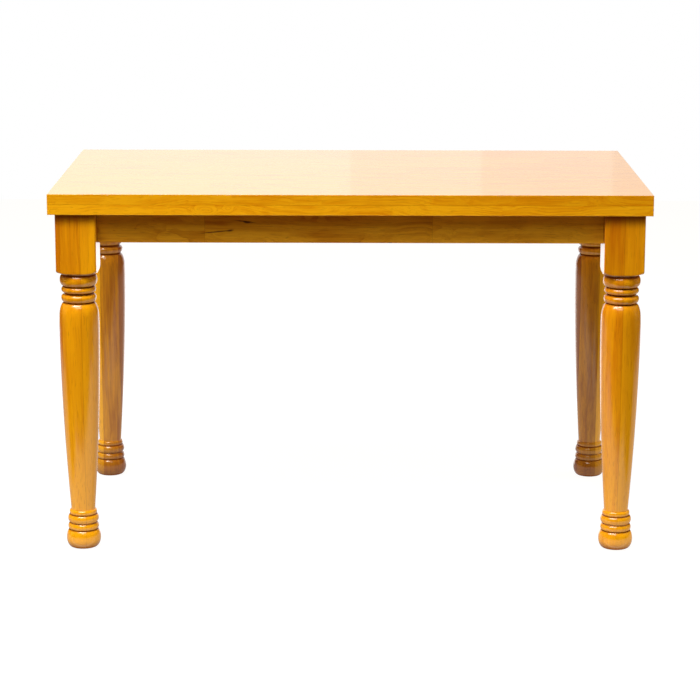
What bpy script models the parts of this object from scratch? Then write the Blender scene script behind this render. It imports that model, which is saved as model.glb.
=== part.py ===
"""Communion table with a built-up wooden top, four aprons and four turned legs.

Metres, +Z up. The origin is on the floor under the middle of the top, and the front looks along -Y.
Each corner is laid out once in its own frame: the leg's axis is its origin, and +X and +Y run
inwards along the two aprons that meet there. The other corners are quarter turns of it.
"""

import math

import bmesh
import bpy
from mathutils import Vector

# Driving dimensions of the whole table
TOP_LENGTH = 1.2192
TOP_DEPTH = 0.686
TABLE_HEIGHT = 0.7508
GAP = 0.0003
# How far a cutter runs on past the wood it cuts
CLEARANCE = 0.010

# Top: one solid panel, thickened around its edge by four strips
PANEL_THICKNESS = 0.021
STRIP_THICKNESS = 0.021
STRIP_WIDTH = 0.100
TOP_EASING = 0.002
BATTEN_WIDTH = 0.060

# Legs: a square block above a turned shaft, a ringed ankle and a ball foot
LEG_SIDE = 0.082
LEG_END_INSET = 0.0137
LEG_FRONT_INSET = 0.0109
BLOCK_CORNER_RADIUS = 0.0565
RING_ANGLES = (7.5, 26, 43.5, 46.5, 64, 82.5)
CORNER_FLAT_SUM = 0.072

# Aprons: boards set back from the legs' faces, with a stub tenon at each end
APRON_HEIGHT = 0.0624
APRON_THICKNESS = 0.022
APRON_SETBACK = 0.0285
TENON_LENGTH = 0.018
TENON_THICKNESS = 0.010
TENON_HEIGHT = 0.040

# Corner blocks: boards across each corner, which the leg's hanger bolt pulls against
BLOCK_THICKNESS = 0.025
BLOCK_HEIGHT = 0.056
BLOCK_OUTER_SUM = 0.080

# Fasteners
BOLT_RADIUS = 0.004
BOLT_INNER_END = 0.097
BOLT_GRIP = 0.038
WASHER_RADIUS = 0.012
WASHER_THICKNESS = 0.002
NUT_WIDTH = 0.013
NUT_HEIGHT = 0.0065
SCREW_RADIUS = 0.002
SCREW_HEAD_RADIUS = 0.004
SCREW_HEAD_HEIGHT = 0.003
BLOCK_SCREW_LENGTH = 0.030
BLOCK_SCREW_REACH = 0.088
BLOCK_SCREW_SEAT = 0.022
BLOCK_SCREW_SPREAD = 0.016
TOP_SCREW_LENGTH = 0.060
TOP_SCREW_COUNTERBORE = 0.014
TOP_SCREW_OFFSET = 0.018
BATTEN_SCREW_LENGTH = 0.025
BATTEN_SCREW_COUNTERBORE = 0.005
BATTEN_SCREW_PLACES = ((0.012, -0.180), (-0.012, -0.060), (0.012, 0.060), (-0.012, 0.180))
GLIDE_RADIUS = 0.012
GLIDE_THICKNESS = 0.002
NAIL_RADIUS = 0.0015
NAIL_LENGTH = 0.014

# Places worked out from the dimensions above
PANEL_BOTTOM = TABLE_HEIGHT - PANEL_THICKNESS
TOP_UNDERSIDE = PANEL_BOTTOM - STRIP_THICKNESS
FRAME_TOP = TOP_UNDERSIDE - GAP
APRON_BOTTOM = TOP_UNDERSIDE - APRON_HEIGHT
APRON_MIDDLE = (FRAME_TOP + APRON_BOTTOM) / 2
LEG_HALF = LEG_SIDE / 2
LEG_BOTTOM = GLIDE_THICKNESS + GAP
LEG_X = TOP_LENGTH / 2 - LEG_END_INSET - LEG_HALF
LEG_Y = TOP_DEPTH / 2 - LEG_FRONT_INSET - LEG_HALF
APRON_OUTER = APRON_SETBACK - LEG_HALF
APRON_CENTRE = APRON_OUTER + APRON_THICKNESS / 2
APRON_INNER = APRON_OUTER + APRON_THICKNESS
BLOCK_FOOT = APRON_INNER + GAP
BLOCK_BOTTOM = FRAME_TOP - BLOCK_HEIGHT
BLOCK_MIDDLE = FRAME_TOP - BLOCK_HEIGHT / 2
BLOCK_INNER_SUM = BLOCK_OUTER_SUM + BLOCK_THICKNESS * math.sqrt(2)
BLOCK_FACE = BLOCK_INNER_SUM / math.sqrt(2)
BOLT_OUTER_END = CORNER_FLAT_SUM / math.sqrt(2) - BOLT_GRIP
TOP_SCREW_SEAT = BLOCK_BOTTOM + TOP_SCREW_COUNTERBORE
BLOCK_SCREW_HEIGHTS = (BLOCK_MIDDLE - BLOCK_SCREW_SPREAD, BLOCK_MIDDLE + BLOCK_SCREW_SPREAD)

# Each corner's side of the table along X and Y, and its quarter turns from the front left corner
CORNERS = {
    "front_left": (-1, -1, 0),
    "front_right": (1, -1, 1),
    "back_right": (1, 1, 2),
    "back_left": (-1, 1, 3),
}


# ---- general tools ----


def clear_scene():
    for old in list(bpy.data.objects):
        bpy.data.objects.remove(old)


def make_material(name, colour, roughness, metallic=0.0):
    material = bpy.data.materials.new(name)
    material.use_nodes = True
    shader = material.node_tree.nodes["Principled BSDF"]
    shader.inputs["Base Color"].default_value = (*colour, 1.0)
    shader.inputs["Roughness"].default_value = roughness
    shader.inputs["Metallic"].default_value = metallic
    return material


def make_object(name, mesh, location=(0, 0, 0), rotation=(0, 0, 0), parent=None):
    piece = bpy.data.objects.new(name, mesh)
    piece.location = location
    piece.rotation_euler = rotation
    piece.parent = parent
    bpy.context.collection.objects.link(piece)
    return piece


def skin(name, rings, wrap=False):
    """A closed mesh through rings of points, all with the same count, in order along the piece.

    The ends are capped, or joined to each other when wrap is set, as for a washer.
    """
    shape = bmesh.new()
    loops = [[shape.verts.new(point) for point in ring] for ring in rings]
    count = len(loops[0])
    pairs = list(zip(loops, loops[1:]))
    if wrap:
        pairs.append((loops[-1], loops[0]))
    else:
        shape.faces.new(loops[0])
        shape.faces.new(loops[-1])
    for first, second in pairs:
        for i in range(count):
            j = (i + 1) % count
            shape.faces.new((first[i], first[j], second[j], second[i]))
    bmesh.ops.recalc_face_normals(shape, faces=shape.faces)
    mesh = bpy.data.meshes.new(name)
    shape.to_mesh(mesh)
    shape.free()
    return mesh


def box_mesh(name, low, high, eased=None, easing=0.0):
    """A box between two corners. eased(a, b) says which edges, from a to b, are rounded."""
    shape = bmesh.new()
    bmesh.ops.create_cube(shape, size=1.0)
    low = Vector(low)
    high = Vector(high)
    for vert in shape.verts:
        vert.co = (low + high) / 2 + vert.co * (high - low)
    if eased:
        edges = [edge for edge in shape.edges if eased(edge.verts[0].co, edge.verts[1].co)]
        bmesh.ops.bevel(shape, geom=edges, offset=easing, segments=2, profile=0.5, affect="EDGES")
    mesh = bpy.data.meshes.new(name)
    shape.to_mesh(mesh)
    shape.free()
    return mesh


def circle(radius, height, count):
    turns = [2 * math.pi * i / count for i in range(count)]
    return [(radius * math.cos(turn), radius * math.sin(turn), height) for turn in turns]


def turned(name, profile, count, wrap=False):
    """A mesh turned about Z from (radius, height) points."""
    return skin(name, [circle(radius, height, count) for radius, height in profile], wrap)


def box_cutter(low, high):
    return make_object("cutter", box_mesh("cutter", low, high))


def drill(radius, start, end, count=12):
    """A cylinder from start to end, to be cut away."""
    start = Vector(start)
    run = Vector(end) - start
    mesh = turned("cutter", [(radius, 0.0), (radius, run.length)], count)
    cutter = make_object("cutter", mesh, start)
    cutter.rotation_euler = run.to_track_quat("Z", "Y").to_euler()
    return cutter


def cut(mesh, cutters):
    """The mesh less each cutter's volume."""
    body = make_object("uncut", mesh)
    for cutter in cutters:
        modifier = body.modifiers.new("Cut", "BOOLEAN")
        modifier.operation = "DIFFERENCE"
        modifier.solver = "EXACT"
        modifier.object = cutter
    bpy.context.view_layer.update()
    graph = bpy.context.evaluated_depsgraph_get()
    result = bpy.data.meshes.new_from_object(body.evaluated_get(graph))
    result.name = mesh.name
    for used in [body, *cutters]:
        bpy.data.objects.remove(used)
    return result


def finish_mesh(mesh, material, smooth=False):
    mesh.materials.clear()
    mesh.materials.append(material)
    if smooth:
        mesh.shade_smooth()
        mesh.set_sharp_from_angle(angle=math.radians(35))
    return mesh


# ---- legs ----


def quarter(start, end, steps):
    """A quarter ellipse of (radius, height) points that leaves start level and meets end upright."""
    points = []
    for step in range(steps + 1):
        turn = math.pi / 2 * step / steps
        radius = start[0] + (end[0] - start[0]) * math.sin(turn)
        points.append((radius, start[1] + (end[1] - start[1]) * (1 - math.cos(turn))))
    return points


def bead(top, middle, bottom, steps):
    """A turned bead: a quarter ellipse out to its middle, then one back in."""
    return quarter(top, middle, steps) + quarter(bottom, middle, steps)[-2::-1]


def block_shoulder(steps=3):
    """The rounded lower end of the square block, from its arris to the middle of its faces."""
    centre_height = 0.596
    reach = 0.017
    drop = 0.011
    first = math.acos((BLOCK_CORNER_RADIUS - LEG_HALF) / reach)
    turns = [first + (math.pi / 2 - first) * step / steps for step in range(steps + 1)]
    return [(LEG_HALF + reach * math.cos(t), centre_height - drop * math.sin(t)) for t in turns]


def tapering_shaft(steps=6):
    """The long shaft below the bulb: its radius falls faster and faster towards the ankle."""
    top_radius, bottom_radius = 0.0409, 0.0248
    top_height, bottom_height = 0.474, 0.0855
    shape_power = 1.8
    points = []
    for step in range(steps + 1):
        share = step / steps
        radius = top_radius + (bottom_radius - top_radius) * share**shape_power
        points.append((radius, top_height + (bottom_height - top_height) * share))
    return points


def leg_profile():
    """(radius, height) points from the top of the leg to its foot."""
    return [
        (BLOCK_CORNER_RADIUS, FRAME_TOP),
        *block_shoulder(),
        (0.0355, 0.5838),
        (0.0340, 0.5805),
        *bead((0.0340, 0.5785), (0.0383, 0.568), (0.0298, 0.5560), 2),
        *bead((0.0298, 0.5550), (0.0353, 0.5482), (0.0285, 0.5420), 2),
        *bead((0.0285, 0.5392), (0.0359, 0.5320), (0.0298, 0.5226), 2),
        *quarter((0.0298, 0.5216), (0.0406, 0.490), 3),
        *tapering_shaft(),
        *bead((0.0252, 0.0830), (0.0284, 0.0778), (0.0268, 0.0732), 1),
        *bead((0.0268, 0.0724), (0.0318, 0.0640), (0.0272, 0.0560), 2),
        *bead((0.0272, 0.0545), (0.0318, 0.0470), (0.0286, 0.0412), 2),
        *bead((0.0286, 0.0402), (0.0354, 0.0200), (0.0260, LEG_BOTTOM), 3),
    ]


def leg_ring(radius, height):
    """A turned circle that the square blank's faces cut off wherever it would pass them."""
    points = []
    for quarter in range(4):
        for angle in RING_ANGLES:
            turn = math.radians(angle + 90 * quarter)
            face = LEG_HALF / max(abs(math.cos(turn)), abs(math.sin(turn)))
            reach = min(radius, face)
            points.append((reach * math.cos(turn), reach * math.sin(turn), height))
    return points


def corner_flat_cutter():
    """The prism cut off the block's inner corner, so that the hanger bolt enters it squarely."""
    flat = CORNER_FLAT_SUM - LEG_HALF
    outside = LEG_HALF + CLEARANCE
    inside = flat - CLEARANCE
    outline = ((inside, outside), (outside, inside), (outside, outside))
    heights = (APRON_BOTTOM, FRAME_TOP + CLEARANCE)
    rings = [[(x, y, height) for x, y in outline] for height in heights]
    return make_object("cutter", skin("cutter", rings))


def make_leg_mesh(material):
    rings = [leg_ring(radius, height) for radius, height in leg_profile()]
    half_slot = TENON_THICKNESS / 2 + GAP
    near, far = APRON_CENTRE - half_slot, APRON_CENTRE + half_slot
    low = APRON_MIDDLE - TENON_HEIGHT / 2 - GAP
    high = APRON_MIDDLE + TENON_HEIGHT / 2 + GAP
    depth = LEG_HALF - TENON_LENGTH - GAP
    outside = LEG_HALF + CLEARANCE
    nail_tip = GLIDE_THICKNESS + NAIL_LENGTH + GAP
    start = (BOLT_OUTER_END - GAP) / math.sqrt(2)
    end = BOLT_INNER_END / math.sqrt(2)
    cutters = [
        corner_flat_cutter(),
        box_cutter((depth, near, low), (outside, far, high)),
        box_cutter((near, depth, low), (far, outside, high)),
        drill(BOLT_RADIUS + GAP, (start, start, BLOCK_MIDDLE), (end, end, BLOCK_MIDDLE)),
        drill(NAIL_RADIUS + GAP, (0, 0, -CLEARANCE), (0, 0, nail_tip), 8),
    ]
    return finish_mesh(cut(skin("leg", rings), cutters), material, smooth=True)


# ---- aprons ----


def make_apron_mesh(name, length, material):
    """A board along X with its outer face towards -Y, a tenon at each end, and screw holes."""
    half_length = length / 2 - GAP
    half_thickness = APRON_THICKNESS / 2
    inside = half_thickness + CLEARANCE
    hole_end = BLOCK_SCREW_SEAT - BLOCK_SCREW_LENGTH - GAP - APRON_CENTRE

    def section(x, half_y, low, high):
        return [(x, -half_y, low), (x, half_y, low), (x, half_y, high), (x, -half_y, high)]

    def board(x):
        return section(x, half_thickness, APRON_BOTTOM, FRAME_TOP)

    def tenon(x):
        half_height = TENON_HEIGHT / 2
        low, high = APRON_MIDDLE - half_height, APRON_MIDDLE + half_height
        return section(x, TENON_THICKNESS / 2, low, high)

    tip = length / 2 + TENON_LENGTH
    rings = [tenon(-tip), tenon(-half_length), board(-half_length)]
    rings += [board(half_length), tenon(half_length), tenon(tip)]
    cutters = []
    for side in (-1, 1):
        x = side * (length / 2 + LEG_HALF - BLOCK_SCREW_REACH)
        for height in BLOCK_SCREW_HEIGHTS:
            cutters.append(drill(SCREW_RADIUS + GAP, (x, inside, height), (x, hole_end, height), 8))
    return finish_mesh(cut(skin(name, rings), cutters), material)


# ---- top ----


def make_panel_mesh(material):
    """The solid panel, with its upper edges and upright corners eased and batten screw holes."""
    low = (-TOP_LENGTH / 2, -TOP_DEPTH / 2, PANEL_BOTTOM)
    high = (TOP_LENGTH / 2, TOP_DEPTH / 2, TABLE_HEIGHT)

    def eased(a, b):
        upright = abs(a.z - b.z) > GAP
        upper = min(a.z, b.z) > PANEL_BOTTOM + GAP
        return upright or upper

    tip = TOP_UNDERSIDE + BATTEN_SCREW_COUNTERBORE + BATTEN_SCREW_LENGTH + GAP
    cutters = []
    for x, y in BATTEN_SCREW_PLACES:
        cutters.append(drill(SCREW_RADIUS + GAP, (x, y, PANEL_BOTTOM - CLEARANCE), (x, y, tip), 8))
    mesh = box_mesh("top_panel", low, high, eased, TOP_EASING)
    return finish_mesh(cut(mesh, cutters), material)


def top_screw_place():
    """Where the top screw stands in the corner's frame: beside the bolt, halfway into the block."""
    middle = (BLOCK_OUTER_SUM + BLOCK_INNER_SUM) / 4
    shift = TOP_SCREW_OFFSET / math.sqrt(2)
    return middle + shift, middle - shift


def make_strip_mesh(name, length, outer, hole, material):
    """A strip along X whose outer edge is at y = -outer, with one blind hole for a top screw."""
    low = (-length / 2, -outer, TOP_UNDERSIDE)
    high = (length / 2, -outer + STRIP_WIDTH, PANEL_BOTTOM - GAP)
    full_length = length == TOP_LENGTH

    def eased(a, b):
        at_front = max(a.y, b.y) < -outer + GAP
        lower = max(a.z, b.z) < TOP_UNDERSIDE + GAP
        corner = abs(a.z - b.z) > GAP and full_length
        end = full_length and lower and abs(a.y - b.y) > GAP
        return end or (at_front and (lower or corner))

    x, y = hole
    tip = TOP_SCREW_SEAT + TOP_SCREW_LENGTH + GAP
    cutter = drill(SCREW_RADIUS + GAP, (x, y, TOP_UNDERSIDE - CLEARANCE), (x, y, tip), 8)
    mesh = box_mesh(name, low, high, eased, TOP_EASING)
    return finish_mesh(cut(mesh, [cutter]), material)


def make_batten_mesh(material):
    """The flat bar that stiffens the middle of the panel, between the front and back strips."""
    half_length = TOP_DEPTH / 2 - STRIP_WIDTH - GAP
    low = (-BATTEN_WIDTH / 2, -half_length, TOP_UNDERSIDE)
    high = (BATTEN_WIDTH / 2, half_length, PANEL_BOTTOM - GAP)
    below = TOP_UNDERSIDE - CLEARANCE
    above = PANEL_BOTTOM + CLEARANCE
    seat = TOP_UNDERSIDE + BATTEN_SCREW_COUNTERBORE
    cutters = []
    for x, y in BATTEN_SCREW_PLACES:
        cutters.append(drill(SCREW_HEAD_RADIUS + GAP, (x, y, below), (x, y, seat)))
        cutters.append(drill(SCREW_RADIUS + GAP, (x, y, below), (x, y, above), 8))
    mesh = box_mesh("top_batten", low, high)
    return finish_mesh(cut(mesh, cutters), material)


# ---- corner blocks and fasteners ----


def make_corner_block_mesh(material):
    """A board across the corner whose mitred ends lie flat on the two aprons."""
    outline = (
        (BLOCK_OUTER_SUM - BLOCK_FOOT, BLOCK_FOOT),
        (BLOCK_INNER_SUM - BLOCK_FOOT, BLOCK_FOOT),
        (BLOCK_FOOT, BLOCK_INNER_SUM - BLOCK_FOOT),
        (BLOCK_FOOT, BLOCK_OUTER_SUM - BLOCK_FOOT),
    )
    rings = [[(x, y, height) for x, y in outline] for height in (BLOCK_BOTTOM, FRAME_TOP)]
    reach = BLOCK_SCREW_REACH
    seat = BLOCK_SCREW_SEAT - GAP
    clear = BLOCK_INNER_SUM
    far = clear / math.sqrt(2)
    middle = (0.0, 0.0, BLOCK_MIDDLE)
    cutters = [drill(BOLT_RADIUS + GAP, middle, (far, far, BLOCK_MIDDLE))]
    for height in BLOCK_SCREW_HEIGHTS:
        for wide, start, end in ((False, 0.0, clear), (True, seat, clear)):
            radius = SCREW_HEAD_RADIUS + GAP if wide else SCREW_RADIUS + GAP
            cutters.append(drill(radius, (reach, start, height), (reach, end, height), 8))
            cutters.append(drill(radius, (start, reach, height), (end, reach, height), 8))
    x, y = top_screw_place()
    below = BLOCK_BOTTOM - CLEARANCE
    cutters.append(drill(SCREW_HEAD_RADIUS + GAP, (x, y, below), (x, y, TOP_SCREW_SEAT)))
    cutters.append(drill(SCREW_RADIUS + GAP, (x, y, below), (x, y, FRAME_TOP + CLEARANCE), 8))
    return finish_mesh(cut(skin("corner_block", rings), cutters), material)


def make_screw_mesh(name, length, material):
    """A pan-head screw pointing along +Z, with the underside of its head at the origin."""
    crown_radius = 0.6 * SCREW_HEAD_RADIUS
    point_length = 0.004
    tip_radius = 0.0005
    profile = [
        (crown_radius, -SCREW_HEAD_HEIGHT),
        (SCREW_HEAD_RADIUS, -SCREW_HEAD_HEIGHT / 2),
        (SCREW_HEAD_RADIUS, 0.0),
        (SCREW_RADIUS, 0.0),
        (SCREW_RADIUS, length - point_length),
        (tip_radius, length),
    ]
    return finish_mesh(turned(name, profile, 8), material, smooth=True)


def make_bolt_mesh(material):
    """A hanger bolt along +Z from its pointed wood end, at the origin, to its threaded end."""
    length = BOLT_INNER_END - BOLT_OUTER_END
    point_length = 0.006
    tip_radius = 0.0015
    chamfer = 0.001
    profile = [(tip_radius, 0.0), (BOLT_RADIUS, point_length), (BOLT_RADIUS, length - chamfer)]
    profile.append((BOLT_RADIUS - chamfer, length))
    return finish_mesh(turned("leg_bolt", profile, 12), material, smooth=True)


def make_washer_mesh(material):
    bore = BOLT_RADIUS + GAP
    profile = [(bore, 0.0), (WASHER_RADIUS, 0.0), (WASHER_RADIUS, WASHER_THICKNESS)]
    profile.append((bore, WASHER_THICKNESS))
    return finish_mesh(turned("leg_washer", profile, 20, wrap=True), material, smooth=True)


def make_nut_mesh(material):
    """A hexagon nut: each ring alternates the flats' middles with the corners."""
    bore = BOLT_RADIUS + GAP

    def hexagon(height):
        points = []
        for i in range(12):
            turn = math.pi / 6 * i
            reach = NUT_WIDTH / 2 / (1.0 if i % 2 else math.cos(math.pi / 6))
            points.append((reach * math.cos(turn), reach * math.sin(turn), height))
        return points

    rings = [circle(bore, 0.0, 12), hexagon(0.0), hexagon(NUT_HEIGHT), circle(bore, NUT_HEIGHT, 12)]
    return finish_mesh(skin("leg_nut", rings, wrap=True), material)


def make_glide_mesh(material):
    """A nail-on glide: a flat disc on the floor, with its nail up the middle of the foot."""
    nail_top = GLIDE_THICKNESS + NAIL_LENGTH
    chamfer = 0.001
    point_length = 0.003
    tip_radius = 0.0004
    profile = [
        (GLIDE_RADIUS - chamfer, 0.0),
        (GLIDE_RADIUS, GLIDE_THICKNESS / 2),
        (GLIDE_RADIUS, GLIDE_THICKNESS),
        (NAIL_RADIUS, GLIDE_THICKNESS),
        (NAIL_RADIUS, nail_top - point_length),
        (tip_radius, nail_top),
    ]
    return finish_mesh(turned("foot_glide", profile, 16), material, smooth=True)


# ---- assembly ----


def place_top(wood):
    """The panel, the four strips under its edge, and the batten with its screws."""
    make_object("top_panel", make_panel_mesh(wood["panel"]))
    x, y = top_screw_place()
    long_hole = (x - LEG_X, y - LEG_Y)
    long_strip = make_strip_mesh("long_strip", TOP_LENGTH, TOP_DEPTH / 2, long_hole, wood["strip"])
    short_length = TOP_DEPTH - 2 * (STRIP_WIDTH + GAP)
    short_hole = (x - LEG_Y, y - LEG_X)
    short_strip = make_strip_mesh(
        "short_strip", short_length, TOP_LENGTH / 2, short_hole, wood["strip"]
    )
    sides = (("front", long_strip, 0), ("right", short_strip, 1))
    sides += (("back", long_strip, 2), ("left", short_strip, 3))
    for side, mesh, turns in sides:
        make_object("top_edge_" + side, mesh, rotation=(0, 0, math.pi / 2 * turns))
    make_object("top_batten", make_batten_mesh(wood["batten"]))


def place_aprons(material):
    long_apron = make_apron_mesh("long_apron", 2 * (LEG_X - LEG_HALF), material)
    short_apron = make_apron_mesh("short_apron", 2 * (LEG_Y - LEG_HALF), material)
    across = LEG_Y - APRON_CENTRE
    along = LEG_X - APRON_CENTRE
    make_object("apron_front", long_apron, (0, -across, 0))
    make_object("apron_right", short_apron, (along, 0, 0), (0, 0, math.pi / 2))
    make_object("apron_back", long_apron, (0, across, 0), (0, 0, math.pi))
    make_object("apron_left", short_apron, (-along, 0, 0), (0, 0, -math.pi / 2))


def corner_frames():
    """An empty on each leg's axis, turned so that its +X and +Y run along the aprons."""
    frames = {}
    for corner, (side_x, side_y, turns) in CORNERS.items():
        place = (side_x * LEG_X, side_y * LEG_Y, 0)
        rotation = (0, 0, math.pi / 2 * turns)
        frames[corner] = make_object("corner_" + corner, None, place, rotation)
    return frames


def place_corner(corner, frame, meshes):
    """One leg with its corner block, hanger bolt, nut, washer, glide and screws."""
    make_object("leg_" + corner, meshes["leg"], parent=frame)
    make_object("corner_block_" + corner, meshes["block"], parent=frame)
    make_object("foot_glide_" + corner, meshes["glide"], parent=frame)
    diagonal = (0, math.pi / 2, math.pi / 4)
    stack = (
        ("leg_bolt_", "bolt", BOLT_OUTER_END),
        ("leg_washer_", "washer", BLOCK_FACE + GAP),
        ("leg_nut_", "nut", BLOCK_FACE + WASHER_THICKNESS + 2 * GAP),
    )
    for name, kind, distance in stack:
        along = distance / math.sqrt(2)
        place = (along, along, BLOCK_MIDDLE)
        make_object(name + corner, meshes[kind], place, diagonal, frame)
    number = 1
    for height in BLOCK_SCREW_HEIGHTS:
        reach, seat = BLOCK_SCREW_REACH, BLOCK_SCREW_SEAT
        spots = (((reach, seat, height), (math.pi / 2, 0, 0)),)
        spots += (((seat, reach, height), (0, -math.pi / 2, 0)),)
        for place, rotation in spots:
            name = f"block_screw_{corner}_{number}"
            make_object(name, meshes["block_screw"], place, rotation, frame)
            number += 1
    x, y = top_screw_place()
    seat = (x, y, TOP_SCREW_SEAT - GAP)
    make_object("top_screw_" + corner, meshes["top_screw"], seat, parent=frame)


def place_batten_screws(steel):
    mesh = make_screw_mesh("batten_screw", BATTEN_SCREW_LENGTH, steel)
    seat = TOP_UNDERSIDE + BATTEN_SCREW_COUNTERBORE - GAP
    for number, (x, y) in enumerate(BATTEN_SCREW_PLACES, 1):
        make_object(f"batten_screw_{number}", mesh, (x, y, seat))


def main():
    clear_scene()
    wood = {
        "panel": make_material("varnished_panel", (0.72, 0.40, 0.09), 0.25),
        "strip": make_material("varnished_strip", (0.68, 0.34, 0.05), 0.28),
        "apron": make_material("varnished_apron", (0.56, 0.26, 0.04), 0.30),
        "leg": make_material("varnished_leg", (0.62, 0.29, 0.04), 0.25),
        "batten": make_material("sealed_batten", (0.62, 0.42, 0.20), 0.50),
        "block": make_material("sealed_corner_block", (0.58, 0.39, 0.19), 0.55),
    }
    zinc = make_material("zinc_plated_steel", (0.62, 0.60, 0.56), 0.35, 1.0)
    black_steel = make_material("black_screw_steel", (0.08, 0.08, 0.08), 0.40, 1.0)
    nylon = make_material("glide_nylon", (0.16, 0.10, 0.06), 0.50)
    place_top(wood)
    place_batten_screws(black_steel)
    place_aprons(wood["apron"])
    meshes = {
        "leg": make_leg_mesh(wood["leg"]),
        "block": make_corner_block_mesh(wood["block"]),
        "bolt": make_bolt_mesh(zinc),
        "washer": make_washer_mesh(zinc),
        "nut": make_nut_mesh(zinc),
        "block_screw": make_screw_mesh("block_screw", BLOCK_SCREW_LENGTH, black_steel),
        "top_screw": make_screw_mesh("top_screw", TOP_SCREW_LENGTH, black_steel),
        "glide": make_glide_mesh(nylon),
    }
    for corner, frame in corner_frames().items():
        place_corner(corner, frame, meshes)


main()
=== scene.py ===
"""Looks of the communion table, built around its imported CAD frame.

Fine turned legs, eased boards and threaded fasteners stand for the CAD solids. Every surface has a
procedural material, and a soft studio lights the table. A corner is laid out in its own frame: the
leg's axis is its origin, and +X and +Y run inwards along the two aprons that meet there.
"""

import math

import bmesh
import bpy
from mathutils import Matrix, Vector


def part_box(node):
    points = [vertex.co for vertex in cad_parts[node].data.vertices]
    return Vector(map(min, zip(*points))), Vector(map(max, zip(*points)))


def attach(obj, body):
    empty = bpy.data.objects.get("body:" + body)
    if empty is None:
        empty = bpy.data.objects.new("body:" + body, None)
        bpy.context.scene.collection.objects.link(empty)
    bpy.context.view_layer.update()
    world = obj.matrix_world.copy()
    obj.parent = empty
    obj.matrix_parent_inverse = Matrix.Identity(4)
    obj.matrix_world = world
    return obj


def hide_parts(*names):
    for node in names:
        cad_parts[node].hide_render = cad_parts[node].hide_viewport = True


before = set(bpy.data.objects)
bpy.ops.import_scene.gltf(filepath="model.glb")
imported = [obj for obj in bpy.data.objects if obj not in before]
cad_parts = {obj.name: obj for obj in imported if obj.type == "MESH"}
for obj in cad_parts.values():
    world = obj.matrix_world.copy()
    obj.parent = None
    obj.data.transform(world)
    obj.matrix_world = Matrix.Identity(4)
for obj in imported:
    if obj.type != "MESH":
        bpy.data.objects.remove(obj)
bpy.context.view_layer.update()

# Quarter turns of each corner from the front left one
CORNERS = {"front_left": 0, "front_right": 1, "back_right": 2, "back_left": 3}

# Sizes inside the CAD solids, which the boxes of its nodes don't give
GAP = 0.0003
CLEARANCE = 0.010
STRIP_WIDTH = 0.100
LEG_HALF = 0.041
BLOCK_CORNER_RADIUS = 0.0565
CORNER_FLAT_SUM = 0.072
APRON_CENTRE = -0.0015
APRON_THICKNESS = 0.022
TENON_LENGTH = 0.018
TENON_THICKNESS = 0.010
TENON_HEIGHT = 0.040
BLOCK_THICKNESS = 0.025
BLOCK_OUTER_SUM = 0.080
BLOCK_INNER_SUM = BLOCK_OUTER_SUM + BLOCK_THICKNESS * math.sqrt(2)
BLOCK_FOOT = APRON_CENTRE + APRON_THICKNESS / 2 + GAP
BOLT_RADIUS = 0.004
BOLT_WOOD_THREAD = 0.038
BOLT_OUTER_END = CORNER_FLAT_SUM / math.sqrt(2) - BOLT_WOOD_THREAD
BOLT_INNER_END = 0.097
WASHER_RADIUS = 0.012
WASHER_THICKNESS = 0.002
NUT_WIDTH = 0.013
NUT_HEIGHT = 0.0065
SCREW_RADIUS = 0.002
SCREW_HEAD_RADIUS = 0.004
SCREW_HEAD_HEIGHT = 0.003
BLOCK_SCREW_LENGTH = 0.030
BLOCK_SCREW_REACH = 0.088
BLOCK_SCREW_SEAT = 0.022
BLOCK_SCREW_SPREAD = 0.016
TOP_SCREW_LENGTH = 0.060
TOP_SCREW_COUNTERBORE = 0.014
TOP_SCREW_OFFSET = 0.018
BATTEN_SCREW_LENGTH = 0.025
BATTEN_SCREW_PLACES = ((0.012, -0.180), (-0.012, -0.060), (0.012, 0.060), (-0.012, 0.180))
BATTEN_SCREW_COUNTERBORE = 0.005
GLIDE_RADIUS = 0.012
GLIDE_THICKNESS = 0.002
NAIL_RADIUS = 0.0015
NAIL_LENGTH = 0.014
FOOT_BOTTOM = GLIDE_THICKNESS + GAP

# Edges sharper than this stay crisp
SMOOTH_ANGLE = math.radians(33)

# Places that follow from the nodes' boxes
PANEL_LOW, PANEL_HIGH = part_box("top_panel")
LEG_LOW, LEG_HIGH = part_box("leg_front_right")
LEG_X = (LEG_LOW.x + LEG_HIGH.x) / 2
LEG_Y = -(LEG_LOW.y + LEG_HIGH.y) / 2
FRAME_TOP = LEG_HIGH.z
APRON_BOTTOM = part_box("apron_front")[0].z
APRON_MIDDLE = (FRAME_TOP + APRON_BOTTOM) / 2
BLOCK_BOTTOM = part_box("corner_block_front_left")[0].z
BLOCK_MIDDLE = (FRAME_TOP + BLOCK_BOTTOM) / 2
TOP_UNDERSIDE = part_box("top_edge_front")[0].z

# Wood tones as (pale, deep) linear colours
HONEY = ((0.99, 0.455, 0.006), (0.79, 0.262, 0.001))
# darker tones for the panel's upper face: painted shade that tones down the light falling on it
SHADED_TOP_HONEY = ((0.66, 0.288, 0.004), (0.55, 0.215, 0.001))
AMBER = ((0.75, 0.330, 0.014), (0.46, 0.135, 0.003))
LEG_AMBER = ((0.81, 0.335, 0.003), (0.56, 0.150, 0.001))
REAR_BROWN = ((0.86, 0.385, 0.012), (0.40, 0.130, 0.012))
PALE_WOOD = ((0.70, 0.50, 0.27), (0.50, 0.31, 0.14))
GUM = (0.075, 0.026, 0.005)
# the colour the bands below darken to: wood stain, and painted shade
STAIN_AND_SHADE_COLOUR = (0.225, 0.046, 0.002)
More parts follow.
